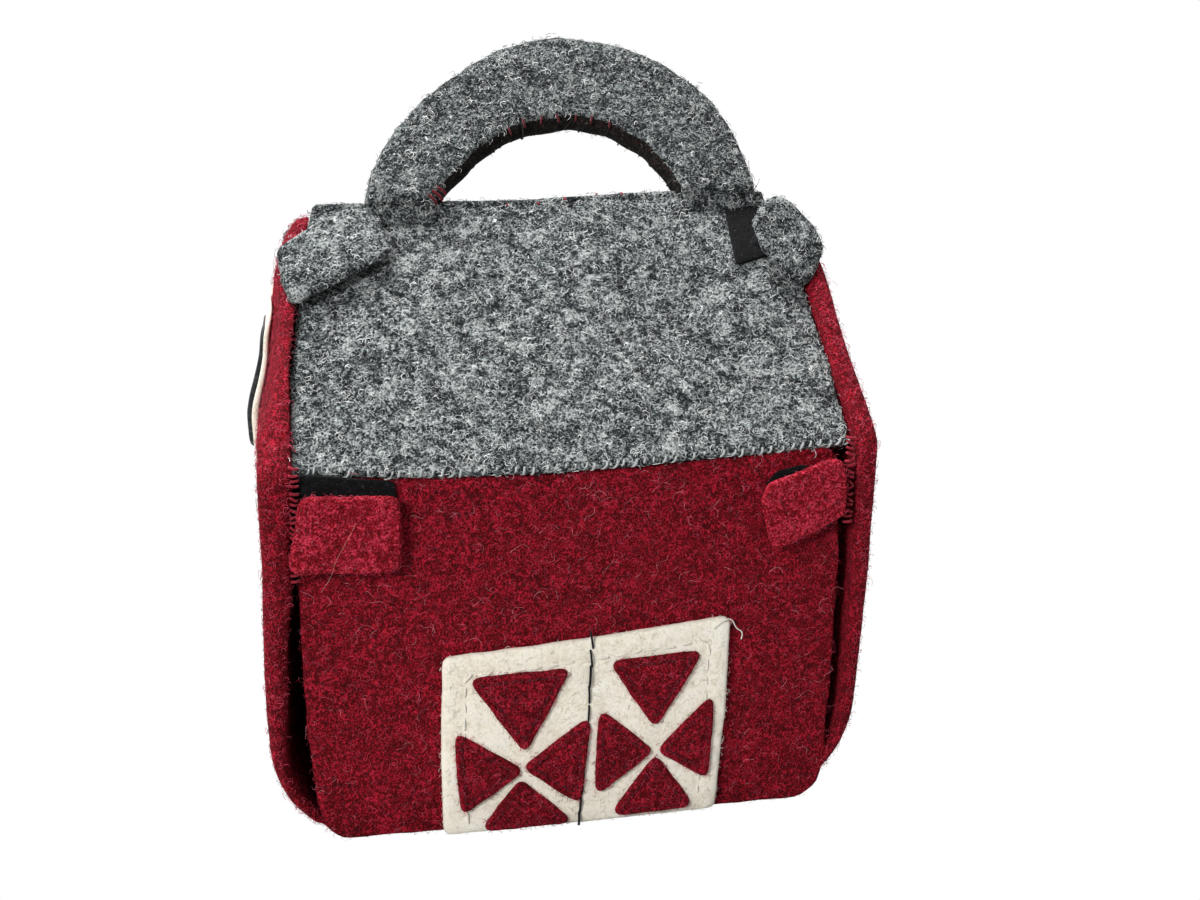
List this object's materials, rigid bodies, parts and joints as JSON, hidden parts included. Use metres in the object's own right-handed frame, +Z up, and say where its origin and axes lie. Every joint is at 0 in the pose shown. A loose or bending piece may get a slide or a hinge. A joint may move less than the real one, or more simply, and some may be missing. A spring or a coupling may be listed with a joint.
{
  "type": "toy barn bag",
  "caption": "Felt toy barn bag with a padded carry handle and padded gable ends that fold down once their hook-and-loop tabs are opened; the barn doors are sewn-on felt.",
  "frame": {"origin": "on the ground under the middle of the barn", "axes": "+X to the right seen from the front, +Y to the back, +Z up; the front wall with the sewn doors faces -Y"},
  "size_m": [0.235, 0.1928, 0.2919],
  "materials": {
    "red_felt": "crimson wool felt",
    "grey_felt": "heather grey wool felt",
    "white_felt": "cream wool felt",
    "green_felt": "olive green felt lining",
    "charcoal_felt": "charcoal wool felt",
    "padding": "wool wadding",
    "hook_tape": "black woven hook tape",
    "loop_tape": "black brushed loop tape"
  },
  "bodies": {
    "shell": {"base_outer_felt": "red_felt", "base_padding": "padding", "base_lining": "green_felt", "door_panel": "white_felt", "front_wall_felt": "red_felt", "front_wall_lining": "green_felt", "front_roof_felt": "grey_felt", "front_roof_lining": "green_felt", "back_wall_felt": "red_felt", "back_wall_lining": "green_felt", "back_roof_felt": "grey_felt", "back_roof_lining": "green_felt", "left_door_top_triangle": "red_felt", "left_door_bottom_triangle": "red_felt", "left_door_outer_triangle": "red_felt", "left_door_inner_triangle": "red_felt", "front_left_wall_hook": "hook_tape", "front_left_roof_hook": "hook_tape", "back_left_wall_hook": "hook_tape", "back_left_roof_hook": "hook_tape", "right_door_top_triangle": "red_felt", "right_door_bottom_triangle": "red_felt", "right_door_outer_triangle": "red_felt", "right_door_inner_triangle": "red_felt", "front_right_wall_hook": "hook_tape", "front_right_roof_hook": "hook_tape", "back_right_wall_hook": "hook_tape", "back_right_roof_hook": "hook_tape"},
    "left_gable": {"left_gable_inner_felt": "red_felt", "left_gable_padding": "padding", "left_gable_outer_felt": "red_felt", "left_window_panel": "white_felt", "left_window_pane": "charcoal_felt"},
    "front_left_wall_tab": {"front_left_wall_tab": "red_felt", "front_left_wall_tab_loop": "loop_tape"},
    "front_left_roof_tab": {"front_left_roof_tab": "grey_felt", "front_left_roof_tab_loop": "loop_tape"},
    "back_left_wall_tab": {"back_left_wall_tab": "red_felt", "back_left_wall_tab_loop": "loop_tape"},
    "back_left_roof_tab": {"back_left_roof_tab": "grey_felt", "back_left_roof_tab_loop": "loop_tape"},
    "right_gable": {"right_gable_inner_felt": "red_felt", "right_gable_padding": "padding", "right_gable_outer_felt": "red_felt", "right_window_panel": "white_felt", "right_window_pane": "charcoal_felt"},
    "front_right_wall_tab": {"front_right_wall_tab": "red_felt", "front_right_wall_tab_loop": "loop_tape"},
    "front_right_roof_tab": {"front_right_roof_tab": "grey_felt", "front_right_roof_tab_loop": "loop_tape"},
    "back_right_wall_tab": {"back_right_wall_tab": "red_felt", "back_right_wall_tab_loop": "loop_tape"},
    "back_right_roof_tab": {"back_right_roof_tab": "grey_felt", "back_right_roof_tab_loop": "loop_tape"},
    "handle": {"handle_front_felt": "grey_felt", "handle_padding": "padding", "handle_back_felt": "grey_felt"}
  },
  "joints": [
    {"name": "left_gable_fold", "type": "hinge", "parent": "shell", "child": "left_gable", "pos_m": [-0.1025, 0, 0.009], "axis": [0, -1, 0], "range_deg": [0, 88]},
    {"name": "right_gable_fold", "type": "hinge", "parent": "shell", "child": "right_gable", "pos_m": [0.1025, 0, 0.009], "axis": [0, 1, 0], "range_deg": [0, 88]},
    {"name": "front_left_wall_tab_open", "type": "hinge", "parent": "left_gable", "child": "front_left_wall_tab", "pos_m": [-0.1022, -0.0964, 0.1215], "axis": [0, 0, -1], "range_deg": [0, 150]},
    {"name": "front_left_roof_tab_open", "type": "hinge", "parent": "left_gable", "child": "front_left_roof_tab", "pos_m": [-0.1115, -0.0331, 0.20175], "axis": [0, -0.7311, -0.6823], "range_deg": [0, 150]},
    {"name": "front_right_wall_tab_open", "type": "hinge", "parent": "right_gable", "child": "front_right_wall_tab", "pos_m": [0.1022, -0.0964, 0.1215], "axis": [0, 0, 1], "range_deg": [0, 150]},
    {"name": "front_right_roof_tab_open", "type": "hinge", "parent": "right_gable", "child": "front_right_roof_tab", "pos_m": [0.1115, -0.0331, 0.20175], "axis": [0, 0.7311, 0.6823], "range_deg": [0, 150]},
    {"name": "back_left_wall_tab_open", "type": "hinge", "parent": "left_gable", "child": "back_left_wall_tab", "pos_m": [-0.1022, 0.0964, 0.1215], "axis": [0, 0, 1], "range_deg": [0, 150]},
    {"name": "back_left_roof_tab_open", "type": "hinge", "parent": "left_gable", "child": "back_left_roof_tab", "pos_m": [-0.1115, 0.0331, 0.20175], "axis": [0, -0.7311, 0.6823], "range_deg": [0, 150]},
    {"name": "back_right_wall_tab_open", "type": "hinge", "parent": "right_gable", "child": "back_right_wall_tab", "pos_m": [0.1022, 0.0964, 0.1215], "axis": [0, 0, -1], "range_deg": [0, 150]},
    {"name": "back_right_roof_tab_open", "type": "hinge", "parent": "right_gable", "child": "back_right_roof_tab", "pos_m": [0.1115, 0.0331, 0.20175], "axis": [0, 0.7311, -0.6823], "range_deg": [0, 150]},
    {"name": "handle_tilt", "type": "hinge", "parent": "shell", "child": "handle", "pos_m": [0, 0, 0.2348], "axis": [1, 0, 0], "range_deg": [-21, 74]}
  ]
}
